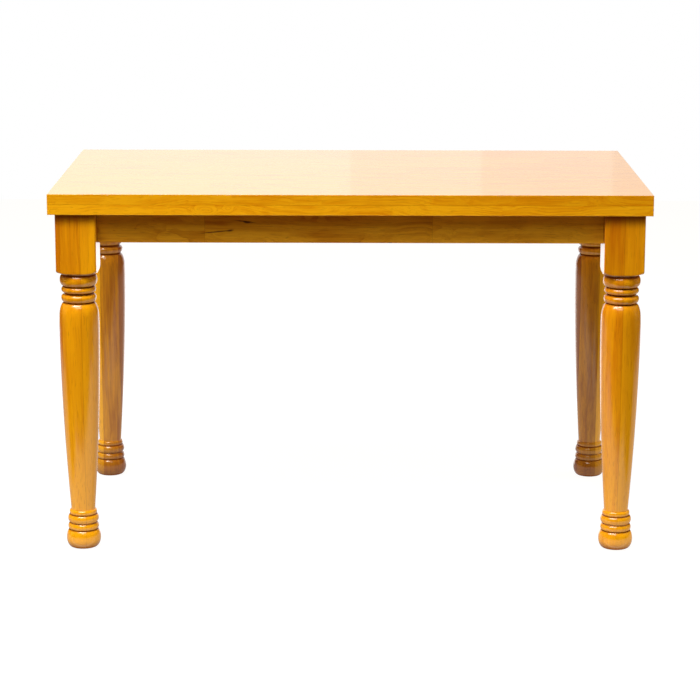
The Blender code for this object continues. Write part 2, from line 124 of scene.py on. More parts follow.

# Bands that darken the wood, as (height, half width, strength at the middle). On a leg: painted shade
# under the top; the top bead's band, a stained groove that also paints the block's shadow; each turned
# groove stained darker and deepened as painted shade; painted contact shadow at the floor. A rear foot
# gets darker towards the floor, and the aprons get painted shade under the top.
STAIN_AND_SHADE_BANDS = (
    # painted shade under the top
    (FRAME_TOP, 0.0300, 0.68),
    # the top bead: a stained groove, and painted shadow of the block above it
    (0.5792, 0.0054, 0.90),
    # stained grooves, darkened further as painted shade
    (0.5555, 0.0040, 0.90),
    (0.5406, 0.0044, 0.90),
    (0.5222, 0.0040, 0.90),
    (0.0728, 0.0028, 0.90),
    (0.0552, 0.0034, 0.50),
    (0.0407, 0.0034, 0.90),
    # painted contact shadow at the floor
    (0.0000, 0.0210, 0.98),
)
# darker towards the floor on a rear foot
REAR_FOOT_DARKENING = ((0.0, 0.0950, 0.62),)
# painted shade under the top, on the aprons
PAINTED_SHADE_UNDER_TOP = ((FRAME_TOP, 0.0240, 0.22),)


# ---- node trees ----


class Shader:
    """Short calls for building one material's node tree."""

    def __init__(self, name):
        self.material = bpy.data.materials.new(name)
        self.material.use_nodes = True
        self.tree = self.material.node_tree
        self.surface = self.tree.nodes["Principled BSDF"]

    def add(self, kind, **settings):
        node = self.tree.nodes.new("ShaderNode" + kind)
        for key, value in settings.items():
            setattr(node, key, value)
        return node

    def feed(self, socket, source):
        """Links a source to a socket, or sets the socket's value if the source is a number."""
        if isinstance(source, bpy.types.NodeSocket):
            self.tree.links.new(source, socket)
        else:
            socket.default_value = source

    def math(self, operation, *sources, clamp=False):
        node = self.add("Math", operation=operation, use_clamp=clamp)
        for socket, source in zip(node.inputs, sources):
            self.feed(socket, source)
        return node.outputs[0]

    def combine(self, x, y, z):
        node = self.add("CombineXYZ")
        for socket, source in zip(node.inputs, (x, y, z)):
            self.feed(socket, source)
        return node.outputs[0]

    def separate(self, vector):
        node = self.add("SeparateXYZ")
        self.feed(node.inputs[0], vector)
        return node.outputs

    def random(self, vector):
        """Three random numbers that are the same wherever the vector is."""
        node = self.add("TexWhiteNoise", noise_dimensions="3D")
        self.feed(node.inputs["Vector"], vector)
        return self.separate(node.outputs["Color"])

    def noise(self, vector, detail=2.0, scale=1.0):
        node = self.add("TexNoise")
        self.feed(node.inputs["Vector"], vector)
        node.inputs["Scale"].default_value = scale
        node.inputs["Detail"].default_value = detail
        return node.outputs["Fac"]

    def ramp(self, value, low, high, to_low=0.0, to_high=1.0):
        """The value eased from the range low..high to the range to_low..to_high, and held there."""
        node = self.add("MapRange", interpolation_type="SMOOTHSTEP")
        self.feed(node.inputs["Value"], value)
        names = ("From Min", "From Max", "To Min", "To Max")
        for name, number in zip(names, (low, high, to_low, to_high)):
            self.feed(node.inputs[name], number)
        return node.outputs["Result"]

    def mix(self, share, first, second):
        node = self.add("Mix", data_type="RGBA")
        sockets = [socket for socket in node.inputs if socket.enabled]
        for socket, source in zip(sockets, (share, rgba(first), rgba(second))):
            self.feed(socket, source)
        return next(socket for socket in node.outputs if socket.enabled)

    def bump(self, height, strength, distance):
        node = self.add("Bump")
        node.inputs["Strength"].default_value = strength
        node.inputs["Distance"].default_value = distance
        self.feed(node.inputs["Height"], height)
        return node.outputs["Normal"]

    def set(self, **values):
        for key, value in values.items():
            self.feed(self.surface.inputs[key.replace("_", " ")], value)


def rgba(colour):
    """Colours are written as three linear numbers; numbers and sockets pass through."""
    if isinstance(colour, tuple) and len(colour) == 3:
        return (*colour, 1.0)
    return colour


def darker(colour, factor):
    """The colour, with each channel times the factor."""
    return tuple(factor * channel for channel in colour)


# ---- wood ----


def wood(name, grain, tones, seed, stave, gap, row_shift=0.0, phase=0.0, face_fingers=True,
         seam=0.4, contrast=1.0, lean=None, drift=0.0, figure=1.0, gloss=0.13, coat_ior=1.5,
         relief=0.35, knots=(), marks=(), stain_and_shade_bands=(), top=None):
    """Clear-varnished wood, glued up from staves that are finger jointed along their length.

    grain names the axes along the grain, across the staves and through the board. tones are the pale
    and the deep colour, and seed picks the pieces of tree.
    The staves are stave wide, and row_shift, in staves, moves their glue lines sideways. The joints
    along row 0 are gap apart from phase on. face_fingers zigzags them across the staves' face, or else
    through the board. seam is how dark the glue lines and joints are.
    contrast strengthens the grain. lean gives the depth of tone of row 0 and its change from row to
    row, in place of a random one, and drift the change along the grain. figure is how far the grain
    wanders and how clear its rings are, from 0 to 1.
    gloss is the varnish's roughness, coat_ior its index of refraction, and relief the grain's height.
    knots, marks and stain_and_shade_bands are rows for swirl, gum_streak and stain_and_painted_shade. top
    gives darker tones for the upper face, painted shade that tones down the light on it, and the face's
    height.
    """
    s = Shader(name)
    pale, deep = tones
    place = s.separate(s.add("TexCoord").outputs["Object"])
    u, v, w = (place["XYZ".index(letter)] for letter in grain)

    # which row of staves, and which piece along it
    row = s.math("MULTIPLY_ADD", v, 1 / stave, row_shift)
    row_number = s.math("FLOOR", row)
    row_share = s.math("FRACT", row)
    stagger = s.math("FRACT", s.math("MULTIPLY", row_number, 0.618))
    finger_pitch, finger_length = 0.0045, 0.011
    zigzag = s.math("PINGPONG", v if face_fingers else w, finger_pitch / 2)
    run = s.math("MULTIPLY_ADD", zigzag, 2 * finger_length / finger_pitch, u)
    run = s.math("MULTIPLY_ADD", run, 1 / gap, s.math("SUBTRACT", stagger, phase / gap))
    piece_number = s.math("FLOOR", run)
    piece_share = s.math("FRACT", run)
    piece = s.random(s.combine(row_number, piece_number, seed))

    # each piece comes from its own place in a tree, and its grain wanders
    lu = s.math("MULTIPLY_ADD", piece[1], 9.0, u)
    lv = s.math("MULTIPLY_ADD", piece[0], 5.0, v)
    lw = s.math("MULTIPLY_ADD", piece[2], 7.0, w)

    def field(along, across, detail=2.0, bent=None):
        side_v = s.math("ADD", lv, bent) if bent else lv
        side_w = s.math("ADD", lw, bent) if bent else lw
        spot = s.combine(
            s.math("MULTIPLY", lu, along),
            s.math("MULTIPLY", side_v, across),
            s.math("MULTIPLY", side_w, across),
        )
        return s.noise(spot, detail)

    bend = s.math("MULTIPLY", u, s.math("MULTIPLY_ADD", piece[1], 0.16 * figure, -0.08 * figure))
    for along, across, reach in ((4.0, 9.0, 0.060), (15.0, 38.0, 0.012)):
        wander = s.math("SUBTRACT", field(along, across, 1.0), 0.5)
        bend = s.math("MULTIPLY_ADD", wander, reach * figure, bend)
    for knot in knots:
        bend = s.math("ADD", bend, swirl(s, u, w, knot))

    # growth rings about a pith beside the piece: thin dark lines that come and go
    dv = s.math("MULTIPLY_ADD", row_share, stave, s.math("MULTIPLY_ADD", piece[1], 0.12, -0.08))
    dw = s.math("ADD", w, s.math("MULTIPLY_ADD", piece[2], 0.06, 0.03))
    squares = s.math("ADD", s.math("MULTIPLY", dv, dv), s.math("MULTIPLY", dw, dw))
    radius = s.math("ADD", s.math("SQRT", squares), bend)
    ring_spacing = 0.0056
    rings = s.math("POWER", s.math("FRACT", s.math("MULTIPLY", radius, 1 / ring_spacing)), 2.6)
    rings = s.math("MULTIPLY", rings, s.ramp(field(5.0, 20.0), 0.38, 0.62))

    fibres = s.ramp(field(10.0, 420.0, 2.0, bend), 0.36, 0.64)
    streaks = s.ramp(field(4.0, 110.0, 2.0, bend), 0.38, 0.62)
    pores = s.ramp(field(34.0, 640.0, 1.0, bend), 0.60, 0.70)
    cloud = s.ramp(field(6.0, 20.0, 2.0), 0.36, 0.64)
    depth = s.math("MULTIPLY_ADD", rings, 0.50 * figure, -0.22)
    for share, layer in ((0.20, fibres), (0.34, streaks), (0.26, cloud)):
        depth = s.math("MULTIPLY_ADD", layer, share, depth)
    depth = s.math("MULTIPLY_ADD", s.math("SUBTRACT", depth, 0.35), contrast, 0.35)
    depth = s.math("MULTIPLY_ADD", u, drift, depth)
    if lean is None:
        tone = s.math("MULTIPLY", piece[0], 0.26)
    else:
        tone = s.math("MULTIPLY_ADD", row_number, lean[1], lean[0])
    depth = s.math("ADD", depth, tone, clamp=True)
    colour = s.mix(depth, pale, deep)
    # painted shade: the upper face takes darker tones, to tone down the light falling on it
    if top:
        shaded_top_tones, top_height = top
        upper = s.ramp(place[2], top_height - 0.0007, top_height - 0.0001)
        colour = s.mix(upper, colour, s.mix(depth, *shaded_top_tones))
    colour = s.mix(s.math("MULTIPLY", pores, 0.30), colour, darker(deep, 0.5))

    # glue lines between the rows and at the joints, then the darkening bands: stain in turned grooves,
    # and painted shade and shadow
    edge = s.math("MULTIPLY", s.math("PINGPONG", row_share, 0.5), stave)
    butt = s.math("MULTIPLY", s.math("PINGPONG", piece_share, 0.5), gap)
    glue_lines = s.ramp(edge, 0.0001, 0.0008, seam, 0.0)
    lines = s.math("MAXIMUM", glue_lines, s.ramp(butt, 0.0001, 0.0009, seam, 0.0))
    colour = s.mix(lines, colour, darker(deep, 0.4))
    for mark in marks:
        colour = gum_streak(s, colour, u, v, mark)
    varnish = 1.0
    # stain and painted shade from the bands; the coat thins where they are darkest
    if stain_and_shade_bands:
        stain_and_shade = stain_and_painted_shade(s, place[2], stain_and_shade_bands)
        colour = s.mix(stain_and_shade, colour, STAIN_AND_SHADE_COLOUR)
        varnish = s.ramp(stain_and_shade, 0.55, 0.88, 1.0, 0.1)

    s.set(Base_Color=colour, Roughness=s.ramp(fibres, 0.0, 1.0, 0.42, 0.56), Specular_IOR_Level=0.0)
    s.set(Coat_Weight=varnish, Coat_Roughness=gloss, Coat_IOR=coat_ior)
    height = s.math("MULTIPLY_ADD", lines, -1.2, s.math("SUBTRACT", fibres, pores))
    s.set(Normal=s.bump(height, relief, 0.00006))
    return s.material


def swirl(s, u, w, knot):
    """How far the grain is pushed aside round a knot: (u, w, half length, half height, most push)."""
    middle_u, middle_w, half_length, half_height, push = knot
    du = s.math("MULTIPLY_ADD", u, 1 / half_length, -middle_u / half_length)
    dw = s.math("MULTIPLY_ADD", w, 1 / half_height, -middle_w / half_height)
    squares = s.math("MULTIPLY_ADD", du, du, s.math("MULTIPLY", dw, dw))
    return s.math("MULTIPLY", s.math("EXPONENT", s.math("MULTIPLY", squares, -1.0)), push)


def gum_streak(s, colour, u, v, mark):
    """A ragged streak of dark gum in the grain: (middle u, middle v, half length, half width, slope)."""
    middle, height, half_length, half_width, slope = mark
    along = s.math("SUBTRACT", u, middle)
    off = s.math("SUBTRACT", s.math("SUBTRACT", v, height), s.math("MULTIPLY", along, slope))
    du = s.math("DIVIDE", along, half_length)
    dv = s.math("DIVIDE", off, half_width)
    spot = s.combine(s.math("MULTIPLY", u, 120.0), s.math("MULTIPLY", v, 900.0), 0.0)
    reach = s.math("MULTIPLY_ADD", du, du, s.math("MULTIPLY", dv, dv))
    reach = s.math("MULTIPLY_ADD", s.noise(spot, 2.0), 0.8, reach)
    return s.mix(s.ramp(reach, 0.5, 1.4, 0.95, 0.0), colour, GUM)


def stain_and_painted_shade(s, z, stain_and_shade_bands):
    """How dark a height is made: the most of the listed bands, which are stained hollows and painted
    shade.
    """
    stain_and_shade = 0.0
    for height, half_width, strength in stain_and_shade_bands:
        away = s.math("ABSOLUTE", s.math("SUBTRACT", z, height))
        stain_and_shade = s.math("MAXIMUM", stain_and_shade, s.ramp(away, 0.0, half_width, strength, 0.0))
    return stain_and_shade


# ---- other materials ----


def plated_steel(name, colour, roughness):
    """Plated steel, mottled and a little worn."""
    s = Shader(name)
    place = s.add("TexCoord").outputs["Object"]
    mottle = s.noise(place, 3.0, 420.0)
    wear = s.ramp(s.noise(place, 2.0, 90.0), 0.45, 0.65)
    tint = s.mix(s.ramp(mottle, 0.3, 0.7), colour, darker(colour, 0.72))
    tint = s.mix(s.math("MULTIPLY", wear, 0.35), tint, darker(colour, 0.5))
    s.set(Base_Color=tint, Metallic=1.0, Roughness=s.ramp(mottle, 0.3, 0.7, roughness, roughness + 0.15))
    s.set(Normal=s.bump(mottle, 0.25, 0.00008))
    return s.material


def nylon(name, colour):
    """Moulded nylon with a fine matt grain and a few scuffs."""
    s = Shader(name)
    place = s.add("TexCoord").outputs["Object"]
    grain = s.noise(place, 2.0, 1400.0)
    scuffs = s.ramp(s.noise(place, 3.0, 300.0), 0.55, 0.70)
    tint = s.mix(grain, colour, darker(colour, 0.75))
    tint = s.mix(s.math("MULTIPLY", scuffs, 0.3), tint, (0.30, 0.24, 0.18))
    s.set(Base_Color=tint, Roughness=s.ramp(grain, 0.3, 0.7, 0.42, 0.62))
    s.set(Normal=s.bump(grain, 0.3, 0.00006))
    return s.material


# ---- mesh tools ----


def skin(name, rings, wrap=False):
    """A closed mesh through rings of points, all with the same count, capped unless wrapped."""
    shape = bmesh.new()
    loops = [[shape.verts.new(point) for point in ring] for ring in rings]
    count = len(loops[0])
    pairs = list(zip(loops, loops[1:]))
    if wrap:
        pairs.append((loops[-1], loops[0]))
    else:
        shape.faces.new(loops[0])
        shape.faces.new(loops[-1])
    for first, second in pairs:
        for i in range(count):
            j = (i + 1) % count
            shape.faces.new((first[i], first[j], second[j], second[i]))
    bmesh.ops.recalc_face_normals(shape, faces=shape.faces)
    mesh = bpy.data.meshes.new(name)
    shape.to_mesh(mesh)
    shape.free()
    return mesh


def around(count):
    """Directions evenly round a turn."""
    return [2 * math.pi * i / count for i in range(count)]


def circle(radius, height, turns):
    """Points round Z in the given directions."""
    return [(radius * math.cos(turn), radius * math.sin(turn), height) for turn in turns]


def surface_of_turns(name, turns, heights, reach):
    """A closed mesh about Z whose distance from the axis is reach(turn, height)."""
    rings = []
    for height in heights:
        ring = []
        for turn in turns:
            radius = reach(turn, height)
            ring.append((radius * math.cos(turn), radius * math.sin(turn), height))
        rings.append(ring)
    return skin(name, rings)


def turned(name, profile, count, wrap=False):
    """A mesh turned about Z from (radius, height) points."""
    return skin(name, [circle(radius, height, around(count)) for radius, height in profile], wrap)


def eased_box(name, low, high, easing=0.0, eased=None, steps=4):
    """A box between two corners, with every edge rounded, or those that eased(a, b) picks."""
    low, high = Vector(low), Vector(high)
    shape = bmesh.new()
    bmesh.ops.create_cube(shape, size=1.0)
    for vert in shape.verts:
        vert.co = (low + high) / 2 + vert.co * (high - low)
    if easing:
        edges = shape.edges[:]
        if eased:
            edges = [edge for edge in edges if eased(edge.verts[0].co, edge.verts[1].co)]
        bmesh.ops.bevel(shape, geom=edges, offset=easing, segments=steps, profile=0.5, affect="EDGES")
    mesh = bpy.data.meshes.new(name)
    shape.to_mesh(mesh)
    shape.free()
    return mesh


def drill(radius, start, end, count=32):
    """A cylinder from start to end, to be cut away."""
    run = Vector(end) - Vector(start)
    mesh = turned("cutter", [(radius, 0.0), (radius, run.length)], count)
    mesh.transform(Matrix.Translation(start) @ run.to_track_quat("Z", "Y").to_matrix().to_4x4())
    return mesh


def evaluated(mesh, *modifiers):
    """The mesh after the given modifiers, as (kind, settings) pairs."""
    body = bpy.data.objects.new("working", mesh)
    bpy.context.scene.collection.objects.link(body)
    for kind, settings in modifiers:
        modifier = body.modifiers.new(kind, kind)
        for key, value in settings.items():
            setattr(modifier, key, value)
    bpy.context.view_layer.update()
    graph = bpy.context.evaluated_depsgraph_get()
    result = bpy.data.meshes.new_from_object(body.evaluated_get(graph))
    bpy.data.objects.remove(body)
    return result


def combine(mesh, others, operation="DIFFERENCE"):
    """The mesh with each of the others cut from it, or joined to it by UNION."""
    helpers = []
    modifiers = []
    for other in others:
        helper = bpy.data.objects.new("cutter", other)
        bpy.context.scene.collection.objects.link(helper)
        helpers.append(helper)
        modifiers.append(("BOOLEAN", {"operation": operation, "solver": "EXACT", "object": helper}))
    result = evaluated(mesh, *modifiers)
    for helper in helpers:
        bpy.data.objects.remove(helper)
    return result


def add_piece(node, mesh, material):
    """Puts a finished mesh in the scene as the piece that stands for a CAD node."""
    mesh = mesh.copy()
    mesh.materials.clear()
    mesh.materials.append(material)
    mesh.shade_smooth()
    mesh.set_sharp_from_angle(angle=SMOOTH_ANGLE)
    mesh = evaluated(mesh, ("WEIGHTED_NORMAL", {"mode": "FACE_AREA", "weight": 80, "keep_sharp": True}))
    name = "fine_" + node
    mesh.name = name
    piece = bpy.data.objects.new(name, mesh)
    bpy.context.scene.collection.objects.link(piece)
    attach(piece, "root")
    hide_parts(node)


def placed(mesh, matrix):
    """A copy of the mesh, moved by the matrix."""
    copy = mesh.copy()
    copy.transform(matrix)
    return copy


def corner_frame(corner):
    """The transform from a corner's own frame to the table's."""
    low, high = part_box("leg_" + corner)
    centre = (low + high) / 2
    turn = Matrix.Rotation(math.pi / 2 * CORNERS[corner], 4, "Z")
    return Matrix.Translation((centre.x, centre.y, 0)) @ turn


# ---- legs ----


def quarter(start, end, steps):
    """A quarter ellipse of (radius, height) points that leaves start level and meets end upright."""
    points = []
    for step in range(steps + 1):
        turn = math.pi / 2 * step / steps
        radius = start[0] + (end[0] - start[0]) * math.sin(turn)
        points.append((radius, start[1] + (end[1] - start[1]) * (1 - math.cos(turn))))
    return points


def bead(top, middle, bottom, steps):
    """A turned bead: a quarter ellipse out to its middle, then one back in."""
    return quarter(top, middle, steps) + quarter(bottom, middle, steps)[-2::-1]


def turned_profile():
    """(radius, height) points of the turned part of a leg, from under the block to the foot."""
    shaft = []
    steps = 44
    for step in range(1, steps + 1):
        share = step / steps
        shaft.append((0.0409 - 0.0161 * share**1.8, 0.474 - 0.3885 * share))
    return [
        *quarter((0.0372, 0.5846), (0.0340, 0.5800), 4),
        *bead((0.0340, 0.5785), (0.0383, 0.5680), (0.0298, 0.5560), 10),
        *bead((0.0298, 0.5550), (0.0353, 0.5482), (0.0285, 0.5420), 8),
        *bead((0.0285, 0.5392), (0.0359, 0.5320), (0.0298, 0.5226), 9),
        *quarter((0.0298, 0.5216), (0.0406, 0.4900), 14),
        (0.0409, 0.4810),
        (0.0410, 0.4740),
        *shaft,
        *bead((0.0252, 0.0830), (0.0284, 0.0778), (0.0268, 0.0732), 6),
        *bead((0.0268, 0.0724), (0.0318, 0.0640), (0.0272, 0.0560), 8),
        *bead((0.0272, 0.0545), (0.0318, 0.0470), (0.0286, 0.0412), 8),
        *bead((0.0286, 0.0402), (0.0354, 0.0215), (0.0240, FOOT_BOTTOM), 14),
    ]


def leg_turns(count=96, arris=1.5):
    """Directions round a leg: even steps, with four close ones at each corner for its arris."""
    degrees = {360 * i / count for i in range(count)}
    for corner in (45, 135, 225, 315):
        degrees.discard(corner)
        degrees.update((corner - arris, corner - arris / 3, corner + arris / 3, corner + arris))
    return [math.radians(angle) for angle in sorted(degrees)]


def block_rings(turns, easing=0.0009, steps=12):
    """Rings of the square block from its top down to where the turned shoulder ends.

    Each meridian runs straight down its face, then round the shoulder's quarter ellipse, so the crease
    between them follows the curve where the lathe met the square blank.
    """
    shoulder, reach, drop = 0.596, 0.017, 0.011
    meridians = []
    for turn in turns:
        face = LEG_HALF / max(abs(math.cos(turn)), abs(math.sin(turn)))
        face = min(face, BLOCK_CORNER_RADIUS)
        first = math.acos(min(1.0, (face - LEG_HALF) / reach))
        crease = shoulder - drop * math.sin(first)
        points = [(face - easing, FRAME_TOP), (face, FRAME_TOP - easing)]
        for share in (0.2, 0.4, 0.6, 0.8, 0.95):
            points.append((face, FRAME_TOP + (crease - FRAME_TOP) * share))
        points.append((face, crease + easing))
        for step in range(1, steps + 1):
            lean = first + (math.pi / 2 - first) * step / steps
            radius = LEG_HALF + reach * math.cos(lean)
            points.append((min(radius, face - easing / 2), shoulder - drop * math.sin(lean)))
        meridians.append([(r * math.cos(turn), r * math.sin(turn), z) for r, z in points])
    return [list(ring) for ring in zip(*meridians)]


def leg_cutters():
    """The corner flat, two mortises, the hanger bolt's hole and the glide nail's hole."""
    flat = CORNER_FLAT_SUM - LEG_HALF
    outside = LEG_HALF + CLEARANCE
    outline = ((flat - CLEARANCE, outside), (outside, flat - CLEARANCE), (outside, outside))
    heights = (APRON_BOTTOM, FRAME_TOP + CLEARANCE)
    prism = skin("cutter", [[(x, y, height) for x, y in outline] for height in heights])
    near = APRON_CENTRE - TENON_THICKNESS / 2 - GAP
    far = APRON_CENTRE + TENON_THICKNESS / 2 + GAP
    low = APRON_MIDDLE - TENON_HEIGHT / 2 - GAP
    high = APRON_MIDDLE + TENON_HEIGHT / 2 + GAP
    depth = LEG_HALF - TENON_LENGTH - GAP
    start = (BOLT_OUTER_END - GAP) / math.sqrt(2)
    end = BOLT_INNER_END / math.sqrt(2)
    return [
        prism,
        eased_box("cutter", (depth, near, low), (outside, far, high)),
        eased_box("cutter", (near, depth, low), (far, outside, high)),
        drill(BOLT_RADIUS + GAP, (start, start, BLOCK_MIDDLE), (end, end, BLOCK_MIDDLE)),
        drill(NAIL_RADIUS + GAP, (0, 0, -CLEARANCE), (0, 0, NAIL_LENGTH + GLIDE_THICKNESS + GAP), 16),
    ]


def make_legs():
    """Four turned legs, each glued up from staves of its own wood."""
    turns = leg_turns()
    rings = block_rings(turns)
    rings += [circle(radius, height, turns) for radius, height in turned_profile()]
    mesh = combine(skin("leg", rings), leg_cutters())
    stave = 0.041
    # for each corner: its tones, where a glue line runs beside its axis, its lean of tone, its drift. The
    # lean is partly the staves' own tone and partly painted light and shade: it makes one side of a leg
    # lighter or darker to suit how the light falls.
    looks = {
        "front_left": (LEG_AMBER, 0.0090, (-0.62, -0.30), 0.9),
        "front_right": (LEG_AMBER, 0.0, (-0.39, -0.35), 0.8),
        "back_right": (REAR_BROWN, 0.0110, (-0.20, -0.75), -0.8),
        "back_left": (REAR_BROWN, -0.0128, (0.50, 0.98), -0.1),
    }
    for number, (corner, (tones, line, lean, drift)) in enumerate(looks.items()):
        matrix = corner_frame(corner)
        material = wood(
            "leg_wood_" + corner, "ZXY", tones, 31.0 + 7 * number, stave, 2.5, phase=-0.6,
            row_shift=-(matrix.translation.x + line) / stave, seam=0.30, contrast=0.80, lean=lean,
            drift=drift, figure=0.22, gloss=0.17, coat_ior=1.6,
            # stain in each groove, and painted shade under the top, over the top bead and at the floor;
            # rear feet darker towards the floor
            stain_and_shade_bands=STAIN_AND_SHADE_BANDS + (REAR_FOOT_DARKENING if corner.startswith("back") else ()),
        )
        add_piece("leg_" + corner, placed(mesh, matrix), material)


# ---- top and aprons ----


def make_top():
    """The solid panel, and the four strips that thicken its edge."""
    easing = 0.0009
    knots = ((-0.290, 0.716, 0.030, 0.012, 0.024), (-0.245, 0.721, 0.012, 0.008, 0.016))
    stave = 0.0528
    # the panel's upper face is painted darker, as shade that tones down the light from above
    panel_wood = wood(
        "panel_wood", "XYZ", HONEY, 3.0, stave, 0.267, row_shift=-PANEL_LOW.y / stave,
        phase=-0.218, gloss=0.10, relief=0.07, seam=0.30, contrast=1.4, drift=0.38,
        top=(SHADED_TOP_HONEY, PANEL_HIGH.z),
    )
    long_wood = wood(
        "long_strip_wood", "XYZ", HONEY, 12.0, STRIP_WIDTH, 0.70,
        row_shift=-PANEL_LOW.y / STRIP_WIDTH + 0.0001,
        phase=0.31, gloss=0.12, seam=0.22, contrast=1.6, drift=0.38, knots=knots,
    )
    short_wood = wood(
        "short_strip_wood", "YXZ", HONEY, 17.0, STRIP_WIDTH, 0.70,
        row_shift=-PANEL_LOW.x / STRIP_WIDTH + 0.0001,
        phase=0.24, gloss=0.12, seam=0.22, contrast=1.5,
    )

    def upper(a, b):
        """Picks the panel's upright and upper edges."""
        return abs(a.z - b.z) > GAP or min(a.z, b.z) > PANEL_HIGH.z - GAP

    panel = eased_box("panel", PANEL_LOW, PANEL_HIGH, easing, upper)
    add_piece("top_panel", panel, panel_wood)

    def outer(a, b):
        """Picks a strip's outer lower edges and the top's upright corners."""
        outside = []
        for axis in (0, 1):
            for limit in (PANEL_LOW[axis], PANEL_HIGH[axis]):
                outside.append(abs(a[axis] - limit) < GAP and abs(b[axis] - limit) < GAP)
        lower = max(a.z, b.z) < TOP_UNDERSIDE + GAP
        corner = abs(a.z - b.z) > GAP and sum(outside) == 2
        return corner or (any(outside) and lower)

    for side in ("front", "back", "left", "right"):
        low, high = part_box("top_edge_" + side)
        mesh = eased_box("strip", low, high, easing, outer)
        material = long_wood if side in ("front", "back") else short_wood
        add_piece("top_edge_" + side, mesh, material)


def make_aprons():
    """Boards with eased lower edges and a tenon at each end."""
    marks = (
        (-0.272, 0.6690, 0.042, 0.0014, 0.10),
        (-0.244, 0.6716, 0.009, 0.0026, 0.10),
        (-0.214, 0.6905, 0.026, 0.0015, -0.12),
        (-0.209, 0.6888, 0.009, 0.0028, 0.0),
        (0.080, 0.6470, 0.006, 0.0014, 0.0),
    )
    stave, gap = 0.080, 0.462
    # the aprons' wood gets painted shade under the top
    long_wood = wood(
        "long_apron_wood", "XZY", AMBER, 23.0, stave, gap, phase=-0.311, face_fingers=False,
        seam=0.30, marks=marks, stain_and_shade_bands=PAINTED_SHADE_UNDER_TOP,
    )
    short_wood = wood(
        "short_apron_wood", "YZX", AMBER, 29.0, stave, gap, phase=-0.13, face_fingers=False,
        seam=0.30, stain_and_shade_bands=PAINTED_SHADE_UNDER_TOP,
    )
    sides = {"front": (0, LEG_X, LEG_Y), "right": (1, LEG_Y, LEG_X)}
    sides.update({"back": (2, LEG_X, LEG_Y), "left": (3, LEG_Y, LEG_X)})
    half_thickness = APRON_THICKNESS / 2
    half_height = TENON_HEIGHT / 2

    def lower(a, b):
        """Picks the long lower edges."""
        return abs(a.x - b.x) > GAP and max(a.z, b.z) < APRON_BOTTOM + GAP

    for side, (turns, along, across) in sides.items():
        half_length = along - LEG_HALF - GAP
        low = (-half_length, -half_thickness, APRON_BOTTOM)
        board = eased_box("apron", low, (half_length, half_thickness, FRAME_TOP), 0.0010, lower)
        tip = along - LEG_HALF + TENON_LENGTH
        low = (-tip, -TENON_THICKNESS / 2, APRON_MIDDLE - half_height)
        tenons = eased_box("tenons", low, (tip, TENON_THICKNESS / 2, APRON_MIDDLE + half_height))
        board = combine(board, [tenons], "UNION")
        matrix = Matrix.Rotation(math.pi / 2 * turns, 4, "Z")
        matrix = matrix @ Matrix.Translation((0, -(across - APRON_CENTRE), 0))
        material = long_wood if side in ("front", "back") else short_wood
        add_piece("apron_" + side, placed(board, matrix), material)


def make_batten(material):
    """The flat batten under the panel, with its counterbored screw holes."""
    low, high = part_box("top_batten")
    below, above = TOP_UNDERSIDE - CLEARANCE, high.z + CLEARANCE
    seat = TOP_UNDERSIDE + BATTEN_SCREW_COUNTERBORE
    cutters = []
    for x, y in BATTEN_SCREW_PLACES:
        cutters.append(drill(SCREW_HEAD_RADIUS + GAP, (x, y, below), (x, y, seat)))
        cutters.append(drill(SCREW_RADIUS + GAP, (x, y, below), (x, y, above), 20))
    mesh = combine(eased_box("batten", low, high, 0.0012, steps=3), cutters)
    add_piece("top_batten", mesh, material)


# ---- corner blocks and fasteners ----


def top_screw_place():
    """Where the top screw stands in a corner's frame: beside the bolt, halfway into the block."""
    middle = (BLOCK_OUTER_SUM + BLOCK_INNER_SUM) / 4
    shift = TOP_SCREW_OFFSET / math.sqrt(2)
    return middle + shift, middle - shift


def block_screw_heights():
    """The heights of the two screws at each end of a corner block."""
    return BLOCK_MIDDLE - BLOCK_SCREW_SPREAD, BLOCK_MIDDLE + BLOCK_SCREW_SPREAD


def corner_block_mesh():
    """A board across the corner whose mitred ends lie flat on the two aprons."""
    outline = (
        (BLOCK_OUTER_SUM - BLOCK_FOOT, BLOCK_FOOT),
        (BLOCK_INNER_SUM - BLOCK_FOOT, BLOCK_FOOT),
        (BLOCK_FOOT, BLOCK_INNER_SUM - BLOCK_FOOT),
        (BLOCK_FOOT, BLOCK_OUTER_SUM - BLOCK_FOOT),
    )
    mesh = skin("block", [[(x, y, z) for x, y in outline] for z in (BLOCK_BOTTOM, FRAME_TOP)])
    shape = bmesh.new()
    shape.from_mesh(mesh)
    bmesh.ops.bevel(shape, geom=shape.edges[:], offset=0.0008, segments=3, profile=0.5, affect="EDGES")
    shape.to_mesh(mesh)
    shape.free()
    reach = BLOCK_SCREW_REACH
    seat = BLOCK_SCREW_SEAT - GAP
    clear = BLOCK_INNER_SUM
    far = clear / math.sqrt(2)
    cutters = [drill(BOLT_RADIUS + GAP, (0, 0, BLOCK_MIDDLE), (far, far, BLOCK_MIDDLE))]
    for height in block_screw_heights():
        for radius, start in ((SCREW_RADIUS + GAP, 0.0), (SCREW_HEAD_RADIUS + GAP, seat)):
            cutters.append(drill(radius, (reach, start, height), (reach, clear, height), 24))
            cutters.append(drill(radius, (start, reach, height), (clear, reach, height), 24))
    x, y = top_screw_place()
    below = BLOCK_BOTTOM - CLEARANCE
    seat = BLOCK_BOTTOM + TOP_SCREW_COUNTERBORE
    cutters.append(drill(SCREW_HEAD_RADIUS + GAP, (x, y, below), (x, y, seat), 24))
    cutters.append(drill(SCREW_RADIUS + GAP, (x, y, below), (x, y, FRAME_TOP + CLEARANCE), 20))
    return combine(mesh, cutters)


def steps_between(start, end, step):
    """Even places from start to end, about a step apart."""
    count = max(1, round((end - start) / step))
    return [start + (end - start) * i / count for i in range(count + 1)]


def helix(turn, height, pitch):
    """How far out a single-start thread stands, from 0 at its root to 1 at its crest."""
    phase = (height / pitch - turn / (2 * math.pi)) % 1.0
    return max(0.0, 1 - abs(2 * phase - 1) * 1.3)


